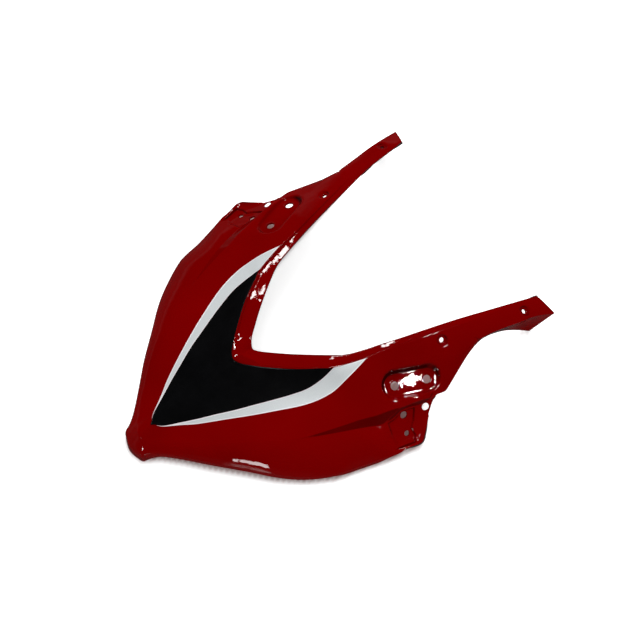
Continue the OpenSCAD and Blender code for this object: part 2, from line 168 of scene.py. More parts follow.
grid = {
    # Stations of one half as [from, to, step]: finer at the pocket, the flange and the screw seats
    "stations": [[0, 1, 0.1], [1, 11.4, 0.26], [11.4, 17.5, 0.055], [17.5, 18.74, 0.124],
                 [18.74, 19.88, 0.057], [19.88, 24.2, 0.18], [24.2, 25.2, 0.0625],
                 [25.2, 26, 0.1]],
    # Rows of each band from the rim to the lip, and how far they crowd towards the band's ends
    "bands": [["seat", 6, 0.3], ["step", 8, 0], ["top", 26, 0.7], ["outer", 30, 0.7],
              ["wedge", 8, 0.4], ["foot", 12, 0.4], ["side", 44, 0.45], ["lip", 8, 0.4]],
    "profilePoints": 60,      # points of the dense profile in each of its short parts
    "bandWidth": [0.8, 3],    # a band as narrow as this isn't there, one as wide as this is
    "leastGap": 0.16,         # least distance between rows where a band has run out
    "softenPasses": 2, "softenShare": 0.25,        # rounds the edges between the bands
    "beakPasses": 60, "beakShare": 0.45, "beakSpan": [0.8, 3.2],      # more rounding at the beak
    "normalPasses": 6,        # evens out the directions in which the wall gets its thickness
    # The wall is this much thinner between these stations, from this band outwards
    "thinner": [["outer", 0.62, [20.5, 22], [25.3, 26]],
                ["wedge", 0.7, [14.2, 14.8], [17.2, 17.8]]],
}


# Stations from the centre line to the arm tip, evenly spaced within each span.
def halfStations():
    spans = [np.linspace(a, b, int(round((b - a) / step)) + 1)[:-1] for a, b, step in grid["stations"]]
    return np.concatenate(spans + [[cowl["tipStation"]]])


# The same on both sides, with the far side's stations negative.
def bothWays(half):
    return np.concatenate([-half[:0:-1], half])


# 0 up to a, 1 from b, and between them 3 t^2 - 2 t^3 of the share t of the way.
def smoothShare(x, a, b):
    t = np.clip((x - a) / (b - a), 0, 1)
    return t * t * (3 - 2 * t)


# The two ends of the chord that crosses the painted face at stations u.
def chordEnds(u):
    line = curveAt(cowl["rimLine"], u)
    edge = curveAt(cowl["sideEdge"], u)
    crease = np.where((u < cowl["shoulder"])[:, None], curveAt(cowl["crease"], u), edge)
    return line, crease


# Painted face between the rim line and the crease at stations u (n) and shares t (n, m). In plan
# it runs straight from line to ridge to crease. Its height is the crowned chord on the nose and
# the sides, and on the arms two nearly flat strips that meet in the ridge.
def faceAt(u, t):
    line, crease = chordEnds(u)
    onArm = smoothShare(u, *cowl["armSpan"])[:, None]
    half = (line + crease) / 2
    ridge = half + (curveAt(cowl["ridge"], u) - half) * onArm
    s = np.where(t < 0.5, 2 * t, 2 * t - 1)[..., None]
    near = t[..., None] < 0.5
    a = np.where(near, line[:, None], ridge[:, None])
    b = np.where(near, ridge[:, None], crease[:, None])
    p = a + (b - a) * s
    strips = p[..., 2] + 4 * cowl["armCrown"] * s[..., 0] * (1 - s[..., 0])
    crown, lean = smoothLook(cowl["crown"], u)[:, None], smoothLook(cowl["crownLean"], u)[:, None]
    chord = crowned(line[:, 2:], crease[:, 2:], t, crown, lean)
    p[..., 2] = chord + (strips - chord) * onArm
    return p


# Points that run straight and evenly from a to b at every station.
def straightRows(a, b, count):
    return a[:, None] + (b - a)[:, None] * np.linspace(0, 1, count)[None, :, None]


# The outer skin as one grid. Every station is first a dense profile: rim, seat, step, face,
# wedge, foot of the flange step, bulged side and lip. Its rows are then read off by length along
# that profile, crowded towards the ends of each band: s - k sin(2 pi s) / (2 pi). Also gives how
# much of each band is there, 0 to 1.
def outerSkin(u):
    c, g = cowl, grid
    w = np.abs(u)
    dense = g["profilePoints"]
    rim = curveAt(c["rimEdge"], w)
    line, crease = chordEnds(w)
    foot = line + flatUnit(rim - line) * c["rimStepRun"]
    foot[:, 2] -= c["rimStep"] * lookUp(c["rimShare"], w)
    edge = curveAt(c["sideEdge"], w)
    inFacet = ((w >= c["facetStart"]) & (w <= c["facetEnd"]))[:, None]
    facet = np.where(inFacet, curveAt(c["facetLine"], w), crease)
    inFlange = ((w >= c["flangeStart"]) & (w <= c["shoulder"]))[:, None]
    flange = np.where(inFlange, curveAt(c["flangeFoot"], w), facet)
    drop = c["lipHeight"] * lookUp(c["lipShare"], w)
    out = flatUnit(edge - (line + crease) / 2)
    lip = edge + out * c["lipFlare"] * np.minimum(drop, 1)[:, None]
    lip[:, 2] = np.maximum(lip[:, 2] - drop, 0)
    side = straightRows(flange, edge, 2 * dense)
    s = np.linspace(0, 1, 2 * dense)[None]
    bulge, lean = smoothLook(c["sideBulge"], w)[:, None], smoothLook(c["sideLean"], w)[:, None]
    side[..., 2] += crowned(0, 0, s, bulge, lean) * (w < c["shoulder"])[:, None]
    parts = [straightRows(rim, foot, dense), straightRows(foot, line, dense),
             faceAt(w, np.tile(np.linspace(0, 0.5, 4 * dense), (len(w), 1))),
             faceAt(w, np.tile(np.linspace(0.5, 1, 4 * dense), (len(w), 1))),
             straightRows(crease, facet, dense), straightRows(facet, flange, dense), side,
             straightRows(edge, lip, dense)]
    ends = np.cumsum([p.shape[1] for p in parts]) - 1
    path = np.concatenate(parts, 1)
    step = np.linalg.norm(np.diff(path, axis=1), axis=2)
    length = np.concatenate([np.zeros((len(w), 1)), np.cumsum(step, 1)], 1)
    counts = [band[1] for band in g["bands"]]
    marks = np.concatenate([np.zeros((len(w), 1)), length[:, ends]], 1)
    there = smoothShare(np.diff(marks, axis=1), *g["bandWidth"])
    for k in range(1, len(counts)):
        marks[:, k] = np.maximum(marks[:, k], marks[:, k - 1] + counts[k - 1] * g["leastGap"])
    for k in range(len(counts) - 1, 0, -1):
        marks[:, k] = np.minimum(marks[:, k], marks[:, k + 1] - counts[k] * g["leastGap"])
    at = []
    for k, (_, count, crowd) in enumerate(g["bands"]):
        share = np.arange(count)[None] / count
        share = share - crowd * np.sin(2 * math.pi * share) / (2 * math.pi)
        at.append(marks[:, k:k + 1] + (marks[:, k + 1] - marks[:, k])[:, None] * share)
    at = np.concatenate(at + [marks[:, -1:]], 1)
    apart = 10000.0 * np.arange(len(w))[:, None]
    wanted, known = (at + apart).ravel(), (length + apart).ravel()
    skin = np.stack([np.interp(wanted, known, path[..., k].ravel()).reshape(at.shape)
                     for k in range(3)], -1)
    for _ in range(g["softenPasses"]):
        skin[:, 1:-1] += g["softenShare"] * (skin[:, :-2] - 2 * skin[:, 1:-1] + skin[:, 2:])
    beak = 1 - smoothShare(w, *g["beakSpan"])
    front = beak > 0
    for _ in range(g["beakPasses"]):
        part = skin[front]
        bend = part[:, :-2] - 2 * part[:, 1:-1] + part[:, 2:]
        skin[front, 1:-1] += g["beakShare"] * beak[front, None, None] * bend
    skin[:, :, 2] = np.maximum(skin[:, :, 2], 0)
    skin[:, :, 0] *= np.where(u < 0, -1, 1)[:, None]
    skin[:, :, 1] -= c["middle"]
    return skin, there


# Rows that belong to a band, its first and last row left out.
def bandRows(name):
    start = 0
    for band, count, _ in grid["bands"]:
        if band == name:
            return slice(start + 1, start + count)
        start += count


# Outward normals of a grid: the cross product of its two tangents, averaged over a few rows.
def outwardNormals(p, passes=0):
    along = np.gradient(p, axis=0)
    across = np.gradient(p, axis=1)
    n = np.cross(across, along)
    n /= np.maximum(np.linalg.norm(n, axis=2), 1e-9)[..., None]
    for _ in range(passes):
        n[:, 1:-1] += 0.25 * (n[:, :-2] - 2 * n[:, 1:-1] + n[:, 2:])
    return n / np.maximum(np.linalg.norm(n, axis=2), 1e-9)[..., None]


# Turn about x, then y, then z, in degrees.
def turned(ax, ay, az):
    ax, ay, az = (math.radians(a) for a in (ax, ay, az))
    rx = np.array([[1, 0, 0], [0, math.cos(ax), -math.sin(ax)], [0, math.sin(ax), math.cos(ax)]])
    ry = np.array([[math.cos(ay), 0, math.sin(ay)], [0, 1, 0], [-math.sin(ay), 0, math.cos(ay)]])
    rz = np.array([[math.cos(az), -math.sin(az), 0], [math.sin(az), math.cos(az), 0], [0, 0, 1]])
    return rz @ ry @ rx


# The lesser of a and b, rounded over a width of k where they are nearly the same.
def smoothLeast(a, b, k):
    h = np.clip(0.5 + 0.5 * (b - a) / k, 0, 1)
    return b + (a - b) * h - k * h * (1 - h)


pocket = {
    "centre": [140.97, 54.45, 51.9],     # on the floor, half way between the two stay holes
    "fall": 7.2, "lean": 24, "turn": 24.3,
    "floorFall": 10.2, "floorLean": 20,  # the painted floor lies a little flatter than the stay
    "pitch": 42, "holeD": 10.6, "floorR": 13.5, "wallSlope": 1.28,
    "rimSoftness": 0.9, "footSoftness": 0.8,
    "floorCrown": [0.0018, 0.0008],      # fall of the floor per squared distance across and along
    "ringD": 15, "ringHeight": 0.7, "ringRun": 1.2, "ringUnder": 3,
    "reach": [45, 70, 30],               # half size of the box in which the skin can be sunk
    "openSide": 0.85,                    # the wall on the outer side gets that much less painted shade,
    "openSpan": [-0.4, 0.9],             # growing over these shares of the floor's radius
}
screws = {
    "arm": [123.9, 113.2], "tip": [149.6, 229.4],      # x and y of the arm screws
    "holeD": 6, "seatD": 13, "seatDepth": 2, "seatSlope": 2.2,
    "rounding": 0.6, "softness": 0.7, "reach": 8, "deep": 12,
}
flange = {
    "centre": [169.59, 40.58, 36.86], "fall": 10.4, "lean": 36, "turn": 16.5,
    "pitch": 29.4, "holeD": 9.3, "low": [184.7, 18.8], "lowHoleD": 7,
    "padDepth": 2.2, "padSlope": 1.2, "padSoftness": 0.4,
    "pad": [[1.5, -38], [0, -30], [-6, -17], [-6, -8], [-5, 2], [11.5, -3.5], [19, -8.5],
            [29, -6.5], [37, -11], [37, -37]],       # outline square to the flange
    "padMiddle": [15, -17, 0], "reach": [30, 28, 6],
}


# Distance from the middle segment of a long round pocket or pair of holes.
def obroundDistance(local, pitch):
    y = np.maximum(np.abs(local[..., 1]) - pitch / 2, 0)
    return np.hypot(local[..., 0], y)


# Where the points lie inside a box round the origin, given by half its sizes.
def insideBox(local, half):
    return (np.abs(local) < half).all(-1)


# Sinks the mirror pocket of the +x side into the skin: the new height over the floor is the
# lesser of the skin's own height and a cone that opens upwards from the edge of the floor. Rings
# stand round the holes.
def sinkPocket(p):
    c = pocket
    turn = turned(-c["floorFall"], c["floorLean"], -c["turn"])
    local = (p - np.array(c["centre"])) @ turn
    near = insideBox(local, c["reach"])
    wall = c["wallSlope"] * (obroundDistance(local, c["pitch"]) - c["floorR"])
    sag = -c["floorCrown"][0] * local[..., 0]**2 - c["floorCrown"][1] * local[..., 1]**2
    floor = sag - smoothLeast(-wall, 0 * wall, c["footSoftness"])
    low = smoothLeast(local[..., 2], floor, c["rimSoftness"])
    for end in (-1, 1):
        r = np.hypot(local[..., 0], local[..., 1] - end * c["pitch"] / 2)
        ring = smoothShare(-r, -c["ringD"] / 2, -c["ringD"] / 2 + c["ringRun"])
        low = low + c["ringHeight"] * ring * (low < c["ringUnder"])
    local[..., 2] = np.where(near, low, local[..., 2])
    return local @ turn.T + np.array(c["centre"])


# Signed distance from a closed outline with straight sides, negative inside.
def outlineDistance(xy, outline):
    a = np.array(outline, float)
    b = np.roll(a, -1, axis=0)
    rel = xy[..., None, :] - a
    side = b - a
    t = np.clip((rel * side).sum(-1) / (side**2).sum(-1), 0, 1)
    d = np.linalg.norm(rel - side * t[..., None], axis=-1).min(-1)
    above = a[:, 1] > xy[..., None, 1]
    crosses = (above != (b[:, 1] > xy[..., None, 1])) & \
        (rel[..., 0] < side[:, 0] * rel[..., 1] / np.where(side[:, 1] == 0, 1e-9, side[:, 1]))
    return np.where(crosses.sum(-1) % 2 == 1, -d, d)


# Sinks the flange pad of the +x side: inside its outline the skin drops by the pad's depth, over
# a sloped wall.
def sinkPad(p):
    c = flange
    turn = turned(-c["fall"], c["lean"], -c["turn"])
    local = (p - np.array(c["centre"])) @ turn
    near = insideBox(local - c["padMiddle"], c["reach"])
    d = outlineDistance(local[near][:, :2], c["pad"])
    sunk = smoothLeast(c["padDepth"] + 0 * d, -d * c["padSlope"], c["padSoftness"])
    local[near, 2] += np.minimum(-sunk, 0)
    return local @ turn.T + np.array(c["centre"])


# Point of the skin and its normal nearest to a place in plan.
def placeOn(p, n, xy):
    d = np.hypot(p[..., 0] - xy[0], p[..., 1] - xy[1])
    i, j = np.unravel_index(np.argmin(d), d.shape)
    return p[i, j], n[i, j]


# Sinks a round seat with a sloped wall along the normal n at the point o.
def sinkSeat(p, o, n):
    c = screws
    radius = c["seatD"] / 2 - c["rounding"]
    rel = p - o
    h = rel @ n
    r = np.linalg.norm(rel - h[..., None] * n, axis=2)
    floor = -c["seatDepth"] + c["seatSlope"] * np.maximum(r - radius, 0)
    low = smoothLeast(h, floor, c["softness"])
    move = np.where((r < radius + c["reach"]) & (np.abs(h) < c["deep"]), low - h, 0)
    return p + move[..., None] * n


# The same place on the other side.
def mirroredX(v):
    return np.array(v) * [-1, 1, 1]


# Applies a change that is written for the +x side to both sides.
def bothSides(p, change):
    p = change(p)
    return change(p * [-1, 1, 1]) * [-1, 1, 1]


# Faces of a grid: quads between neighbours.
def quadsOf(n, m, start=0, flip=False):
    i, j = np.meshgrid(np.arange(n - 1), np.arange(m - 1), indexing="ij")
    a = (i * m + j).ravel() + start
    q = np.stack([a, a + 1, a + m + 1, a + m], 1)
    return q[:, ::-1] if flip else q


# Puts points and groups of faces into a mesh object, metres from millimetres.
def meshObject(name, points, *groups):
    mesh = bpy.data.meshes.new(name)
    mesh.vertices.add(len(points))
    mesh.vertices.foreach_set("co", (np.asarray(points) * mm).astype(np.float32).ravel())
    corners = np.concatenate([g.ravel() for g in groups])
    sizes = np.concatenate([np.full(len(g), g.shape[1]) for g in groups])
    mesh.loops.add(len(corners))
    mesh.loops.foreach_set("vertex_index", corners.astype(np.int32))
    mesh.polygons.add(len(sizes))
    mesh.polygons.foreach_set("loop_start", (np.cumsum(sizes) - sizes).astype(np.int32))
    mesh.update(calc_edges=True)
    mesh.validate()
    piece = bpy.data.objects.new(name, mesh)
    bpy.context.scene.collection.objects.link(piece)
    mesh.shade_smooth()
    return piece


# Closed wall between an outer grid and an inner one that has every 1st or every 2nd of its rows
# and stations: both faces and the strip that joins their borders.
def closedWall(name, outer, inner, every=1):
    n, m = outer.shape[:2]
    k, l = inner.shape[:2]
    points = np.concatenate([outer.reshape(-1, 3), inner.reshape(-1, 3)])

    def borderOf(n, m, start):
        index = np.arange(n * m).reshape(n, m) + start
        return np.concatenate([index[:-1, 0], index[-1, :-1], index[:0:-1, -1], index[0, :0:-1]])

    border, innerBorder = borderOf(n, m, 0), borderOf(k, l, n * m)
    outerPart = np.stack([np.roll(border, -j)[::every] for j in range(every + 1)], 1)
    strip = np.concatenate([outerPart, np.roll(innerBorder, -1)[:, None], innerBorder[:, None]], 1)
    piece = meshObject(name, points, quadsOf(n, m), quadsOf(k, l, n * m, True), strip[:, ::-1])
    return piece, (n - 1) * (m - 1)


# Puts one number for each point into a mesh, for its material to read.
def pointLayer(piece, name, values):
    layer = piece.data.attributes.new(name, "FLOAT", "POINT")
    layer.data.foreach_set("value", values.astype(np.float32).ravel())


# How much a place is part of a sunk wall, 0 to 1: the slope of the depth that was pressed into
# the skin, less where that depth is small.
def wallShare(base, skin):
    depth = np.linalg.norm(skin - base, axis=2)
    slope = np.zeros_like(depth)
    for axis in (0, 1):
        gap = np.linalg.norm(np.gradient(base, axis=axis), axis=2)
        slope = np.maximum(slope, np.abs(np.gradient(depth, axis=axis)) / np.maximum(gap, 0.05))
    least, most = paint["shallowShare"]
    return smoothShare(slope, *paint["steepSlope"]) \
        * (least + most * smoothShare(depth, *paint["shallowDepth"]))


# Painted shade at each point, 0 to 1, darkening the red where shade falls: the sunk walls, less on
# the open side of the pocket, and the narrow bands of the wedge, the flange foot and the screen step.
def paintedShadeShare(u, base, there, skin):
    paintedShade = wallShare(base, skin)
    local = (np.abs(skin) * [1, 0, 1] + skin * [0, 1, 0] - pocket["centre"]) \
        @ turned(-pocket["fall"], pocket["lean"], -pocket["turn"])
    outward = smoothShare(local[..., 0] / pocket["floorR"], *pocket["openSpan"]) \
        * (obroundDistance(local, pocket["pitch"]) < 2 * pocket["floorR"])
    paintedShade *= 1 - pocket["openSide"] * outward
    bandNames = [band[0] for band in grid["bands"]]
    for name, share in paint["paintedShadeBands"].items():
        rows = bandRows(name)
        shadeOnSide = np.where(u < 0, paint["leftShare"][name], 1)
        shade = share * shadeOnSide * there[:, bandNames.index(name)]
        paintedShade[:, rows] = np.maximum(paintedShade[:, rows], shade[:, None])
    return paintedShade


# Wall thickness at each point: the cowl's own, less on the outer rows of the thinner spans.
def wallThickness(u, rowCount):
    w = np.abs(u)
    thin = np.zeros((len(u), rowCount))
    for band, share, start, end in grid["thinner"]:
        span = (smoothShare(w, *start) - smoothShare(w, *end))[:, None]
        thin = np.maximum(thin, share * span * (np.arange(rowCount) >= bandRows(band).start))
    return cowl["wall"] * (1 - thin)


# The cowl's skin with its pockets, pads and seats, given its thickness on the inner side.
def makeCowl():
    u = bothWays(halfStations())
    base, there = outerSkin(u)
    normal = outwardNormals(base, grid["normalPasses"])
    if normal[len(u) // 2, bandRows("top").start + 4, 2] < 0:
        normal = -normal
    places = [placeOn(base, normal, screws["arm"]), placeOn(base, normal, screws["tip"])]
    skin = bothSides(bothSides(base, sinkPocket), sinkPad)
    for o, n in places:
        skin = bothSides(skin, lambda p: sinkSeat(p, o, n))
    inner = (skin - normal * wallThickness(u, skin.shape[1])[..., None])[::2, ::2]
    inner[..., 2] = np.maximum(inner[..., 2], 0)
    piece, outerFaces = closedWall("cowlSkin", skin, inner, 2)
    # painted shade on the sunk walls and narrow bands, for the paint to read
    paintedShade = paintedShadeShare(u, base, there, skin)
    pointLayer(piece, "paintedShade", np.concatenate([paintedShade.ravel(), np.zeros(inner.size // 3)]))
    print("cowl skin:", len(piece.data.polygons), "faces")
    return piece, outerFaces, places, placeOn(base, normal, flange["low"]), skin


drill = {"sides": 64, "reach": 14}


# Long round bit along an axis, through the centre of a hole.
def drillBit(name, centre, axis, d):
    axis = Vector(axis).normalized()
    turn = axis.to_track_quat("Z", "Y").to_matrix()
    count, reach = drill["sides"], drill["reach"]
    angle = np.linspace(0, 2 * math.pi, count + 1)[:-1]
    ring = np.stack([np.cos(angle) * d / 2, np.sin(angle) * d / 2, 0 * angle], 1)
    ends = [ring + [0, 0, -reach], ring + [0, 0, reach]]
    points = np.concatenate(ends) @ np.array(turn).T + np.array(centre)
    mesh = bpy.data.meshes.new(name)
    k = np.arange(count)
    after = (k + 1) % count
    sides = np.stack([k, after, after + count, k + count], 1).tolist()
    caps = [k[::-1].tolist(), (k + count).tolist()]
    mesh.from_pydata((points * mm).tolist(), [], sides + caps)
    bit = bpy.data.objects.new(name, mesh)
    bpy.context.scene.collection.objects.link(bit)
    return bit


# Cuts all holes on both sides, then keeps the cut mesh and drops the bits.
def drillHoles(piece, places, lowPlace):
    bits = []
    turnP = turned(-pocket["fall"], pocket["lean"], -pocket["turn"])
    turnF = turned(-flange["fall"], flange["lean"], -flange["turn"])
    holes = [(o, n, screws["holeD"]) for o, n in places] + [(*lowPlace, flange["lowHoleD"])]
    for end in (-1, 1):
        for c, turn in ((pocket, turnP), (flange, turnF)):
            shift = np.array([0, end / 2, 0]) * c["pitch"]
            holes.append((np.array(c["centre"]) + turn @ shift, turn[:, 2], c["holeD"]))
    for k, (centre, axis, d) in enumerate(holes):
        bits.append(drillBit("bit%d" % k, centre, axis, d))
        bits.append(drillBit("bitMirror%d" % k, mirroredX(centre), mirroredX(axis), d))
    for bit in bits:
        cut = piece.modifiers.new("hole", "BOOLEAN")
        cut.operation = "DIFFERENCE"
        cut.solver = "EXACT"
        cut.object = bit
    bpy.context.view_layer.update()
    graph = bpy.context.evaluated_depsgraph_get()
    result = bpy.data.meshes.new_from_object(piece.evaluated_get(graph))
    piece.modifiers.clear()
    piece.data = result
    for bit in bits:
        bpy.data.objects.remove(bit)
    print("holes drilled:", len(bits))


films = {
    "thickness": 0.2,
    "sunk": 0.15,             # how far the back of a film lies in the paint
    "fromStep": 1.3,          # distance of the black field from the top of the step
    "rowsField": 26, "rowsStripe": 12, "stationsHalf": 150,
    "fieldShort": 0.05,       # the films end this far inside their last stations
    "stripeGap": 0.03, "stripeShort": 0.1,
    "leastShare": 0.002,      # least width of a film, as a share of the face
    "slides": 14, "slideStep": 0.02, "slideShare": 0.8, "slideEnd": 16,
}


# Station and share at which the face lies under a point in plan. From a first guess the station
# slides along until the point lies on its chord.
def placeOfPlan(xy, u):
    h = films["slideStep"]
    for _ in range(films["slides"]):
        line, crease = chordEnds(u)
        chord = (crease - line)[:, :2]
        size = np.linalg.norm(chord, axis=1)
        way = chord / size[:, None]
        rel = xy - line[:, :2]
        t = (rel * way).sum(1) / size
        off = rel[:, 0] * way[:, 1] - rel[:, 1] * way[:, 0]
        (lineA, creaseA), (lineB, creaseB) = chordEnds(u + h), chordEnds(np.maximum(u - h, 0))
        step = (lineA + (creaseA - lineA) * t[:, None]) - (lineB + (creaseB - lineB) * t[:, None])
        rate = (step[:, 0] * way[:, 1] - step[:, 1] * way[:, 0]) / (u + h - np.maximum(u - h, 0))
        rate = np.where(np.abs(rate) < 1e-3, 1e-3, rate)
        u = np.clip(u + films["slideShare"] * off / rate, 0, films["slideEnd"])
    return u, t


# Share of the face at which the films start, a fixed distance from the top of the step.
def stepShare(u):
    line, crease = chordEnds(u)
    return films["fromStep"] / np.linalg.norm(crease - line, axis=1)


# Film between two edges of the face, each given as station and share. Rows run evenly from one
# edge to the other, the top stands proud of the paint and the back is sunk into it. Each point
# knows its distance from the nearer edge, in metres.
def filmPatch(name, edgeA, edgeB, rows, sign):
    s = np.linspace(0, 1, rows)[None]
    u = edgeA[0][:, None] + (edgeB[0] - edgeA[0])[:, None] * s
    t = edgeA[1][:, None] + (edgeB[1] - edgeA[1])[:, None] * s
    p = faceAt(np.abs(u).ravel(), t.reshape(-1, 1)).reshape(u.shape + (3,))
    p[..., 0] *= np.where(sign * u < 0, -1, 1) if sign else np.where(u < 0, -1, 1)
    p[..., 1] -= cowl["middle"]
    n = outwardNormals(p)
    if n[len(n) // 2, rows // 2, 2] < 0:
        n = -n
    top = p + n * films["thickness"]
    low = p - n * films["sunk"]
    if np.cross(p[1, 0] - p[0, 0], p[0, -1] - p[0, 0])[2] > 0:
        top, low, p = top[::-1], low[::-1], p[::-1]
    piece, _ = closedWall(name, top, low)
    step = np.linalg.norm(np.diff(p, axis=1), axis=2)
    across = np.concatenate([np.zeros((len(p), 1)), np.cumsum(step, 1)], 1)
    edge = np.minimum(across, across[:, -1:] - across)
    pointLayer(piece, "edgeDistance", np.concatenate([edge, edge]) * mm)
    return piece


# Black field from step to field edge over both sides, and a stripe outside it on each side.
def makeFilms():
    c = films
    half = np.linspace(0, 1, c["stationsHalf"])
    u = bothWays(half * (cowl["fieldEnd"] - c["fieldShort"]))
    w = np.abs(u)
    fieldU, fieldT = placeOfPlan(curveAt(cowl["fieldEdge"], w)[:, :2], w)
    fieldT = np.maximum(fieldT, stepShare(fieldU) + c["leastShare"])
    black = filmPatch("blackField", (u, stepShare(w)), (np.where(u < 0, -fieldU, fieldU), fieldT),
                      c["rowsField"], 0)
    span = cowl["stripeEnd"] - cowl["stripeStart"] - c["stripeShort"]
    v = cowl["stripeStart"] + c["stripeGap"] + half * span
    innerU, innerT = placeOfPlan(curveAt(cowl["fieldEdge"], np.minimum(v, cowl["fieldEnd"]))[:, :2], v)
    onStep = v > cowl["fieldEnd"]
    innerU = np.where(onStep, v, innerU)
    innerT = np.where(onStep, stepShare(v), np.maximum(innerT, stepShare(v)))
    outerU, outerT = placeOfPlan(curveAt(cowl["stripeEdge"], v)[:, :2], v)
    outerT = np.maximum(outerT, innerT + c["leastShare"])
    stripes = [filmPatch(name, (innerU, innerT), (outerU, outerT), c["rowsStripe"], sign)
               for name, sign in (("leftStripe", -1), ("rightStripe", 1))]
    print("films cut:", 1 + len(stripes))
    return black, stripes


paint = {
    "red": (0.172, 0.0, 0.0002), "deepRed": (0.140, 0.0, 0.0001),
    "paintedShade": (0.012, 0.0, 0.0),      # painted shade: near-black red on steep sunk walls and narrow bands
    "steepSlope": [0.25, 1.1],        # the painted shade starts at this slope of a wall and is full here,
    "shallowDepth": [0.1, 1.6], "shallowShare": [0.15, 0.85],      # less where the wall isn't deep
    # Painted shade on the wedge, the flange foot and the screen step, and the share of it kept on the
    # far, -x side
    "paintedShadeBands": {"wedge": 0.56, "foot": 0.6, "step": 0.2},
    "leftShare": {"wedge": 0.3, "foot": 1, "step": 0.2},
    "variationScale": 9, "deepAt": 0.3, "redAt": 0.7,
    "roughness": 0.5, "specular": 0.0,
    "coatRoughness": 0.02, "coatIor": 1.36, "peelScale": 330, "peelHeight": 0.00004,
    "waveScale": 90, "waveHeight": 0.00022,
}
backPlastic = {
    "colour": (0.030, 0.022, 0.022), "overspray": (0.10, 0.004, 0.005), "roughness": 0.55,
    "sprayScale": 22, "sprayFrom": 0.48, "sprayTo": 0.72, "grainScale": 900, "grainHeight": 0.00006,
}
filmLook = {
    "black": (0.0015, 0.0015, 0.0017), "dusty": (0.003, 0.003, 0.0034), "dustScale": 35,
    "blackRoughness": [0.15, 0.28], "blackSpecular": 0.15,
    "silver": (0.62, 0.65, 0.66), "silverDark": (0.56, 0.59, 0.60), "grainScale": 1500,
    "silverRoughness": 0.38, "silverMetallic": 0.15,
    "pinstripe": (0.80, 0.80, 0.82), "pinstripeTo": 0.0013,      # how far in from the cut edge
    "hem": (0.62, 0.30, 0.32), "hemTo": 0.00035,
    "waveScale": 60, "blackWave": 0.00008, "silverWave": 0.00006,
}


# A material with its node tree and its shader.
def newMaterial(name):
    material = bpy.data.materials.new(name)
    material.use_nodes = True
    nodes = material.node_tree.nodes
    return material, material.node_tree, nodes["Principled BSDF"]


# Noise that stays on the piece.
def objectNoise(tree, scale, detail=3, roughness=0.5):
    place = tree.nodes.new("ShaderNodeTexCoord")
    noise = tree.nodes.new("ShaderNodeTexNoise")
    noise.inputs["Scale"].default_value = scale
    noise.inputs["Detail"].default_value = detail
    noise.inputs["Roughness"].default_value = roughness
    tree.links.new(place.outputs["Object"], noise.inputs["Vector"])
    return noise.outputs["Fac"]


# Colours at stops of 0 to 1, blended between them.
def colourRamp(tree, value, stops):
    ramp = tree.nodes.new("ShaderNodeValToRGB")
    elements = ramp.color_ramp.elements
    for element, (position, colour) in zip(elements, (stops[0], stops[-1])):
        element.position, element.color = position, (*colour, 1)
    for position, colour in stops[1:-1]:
        elements.new(position).color = (*colour, 1)
    tree.links.new(value, ramp.inputs["Fac"])
    return ramp.outputs["Color"]


# Number from a mesh's point layer.
def layerValue(tree, name):
    node = tree.nodes.new("ShaderNodeAttribute")
    node.attribute_name = name
    return node.outputs["Fac"]


def mathNode(tree, operation, value, other):
    node = tree.nodes.new("ShaderNodeMath")
    node.operation = operation
    tree.links.new(value, node.inputs[0])
    if isinstance(other, (int, float)):
        node.inputs[1].default_value = other
    else:
        tree.links.new(other, node.inputs[1])
    return node.outputs[0]


# Blend of two colours, each a fixed colour or an output of a node.
def blendedColour(tree, factor, a, b):
    mix = tree.nodes.new("ShaderNodeMix")
    mix.data_type = "RGBA"
    tree.links.new(factor, mix.inputs["Factor"])
    for name, colour in (("A", a), ("B", b)):
        if isinstance(colour, tuple):
            mix.inputs[name].default_value = (*colour, 1)
        else:
            tree.links.new(colour, mix.inputs[name])
    return mix.outputs["Result"]


def bumpFrom(tree, height, distance, below=None):
    bump = tree.nodes.new("ShaderNodeBump")
    bump.inputs["Distance"].default_value = distance
    bump.inputs["Strength"].default_value = 1
    tree.links.new(height, bump.inputs["Height"])
    if below is not None:
        tree.links.new(below, bump.inputs["Normal"])
    return bump.outputs["Normal"]


# Deep red under clear lacquer, with a slow drift of depth, painted shade from the point layer on
# sunk walls and narrow bands, the fine peel of sprayed lacquer and a slow wave.
def paintMaterial():
    material, tree, shader = newMaterial("lacqueredRed")
    drift = objectNoise(tree, paint["variationScale"], 2)
    stops = [(paint["deepAt"], paint["deepRed"]), (paint["redAt"], paint["red"])]
    colour = colourRamp(tree, drift, stops)
    # painted shade: the red turns near black where the point layer says shade falls
    colour = blendedColour(tree, layerValue(tree, "paintedShade"), colour, paint["paintedShade"])
    tree.links.new(colour, shader.inputs["Base Color"])
    wave = bumpFrom(tree, objectNoise(tree, paint["waveScale"], 1), paint["waveHeight"])
    peel = bumpFrom(tree, objectNoise(tree, paint["peelScale"], 2), paint["peelHeight"], wave)
    tree.links.new(peel, shader.inputs["Normal"])
    tree.links.new(peel, shader.inputs["Coat Normal"])
    shader.inputs["Roughness"].default_value = paint["roughness"]
    shader.inputs["Specular IOR Level"].default_value = paint["specular"]
    shader.inputs["Coat Weight"].default_value = 1
    shader.inputs["Coat Roughness"].default_value = paint["coatRoughness"]
    shader.inputs["Coat IOR"].default_value = paint["coatIor"]
    return material


# Bare black plastic of the back, with thin red overspray in patches.
def backMaterial():
    c = backPlastic
    material, tree, shader = newMaterial("barePlastic")
    spray = objectNoise(tree, c["sprayScale"], 4)
    colour = colourRamp(tree, spray, [(c["sprayFrom"], c["colour"]), (c["sprayTo"], c["overspray"])])
    tree.links.new(colour, shader.inputs["Base Color"])
    grain = bumpFrom(tree, objectNoise(tree, c["grainScale"], 2), c["grainHeight"])
    tree.links.new(grain, shader.inputs["Normal"])
    shader.inputs["Roughness"].default_value = c["roughness"]
    return material


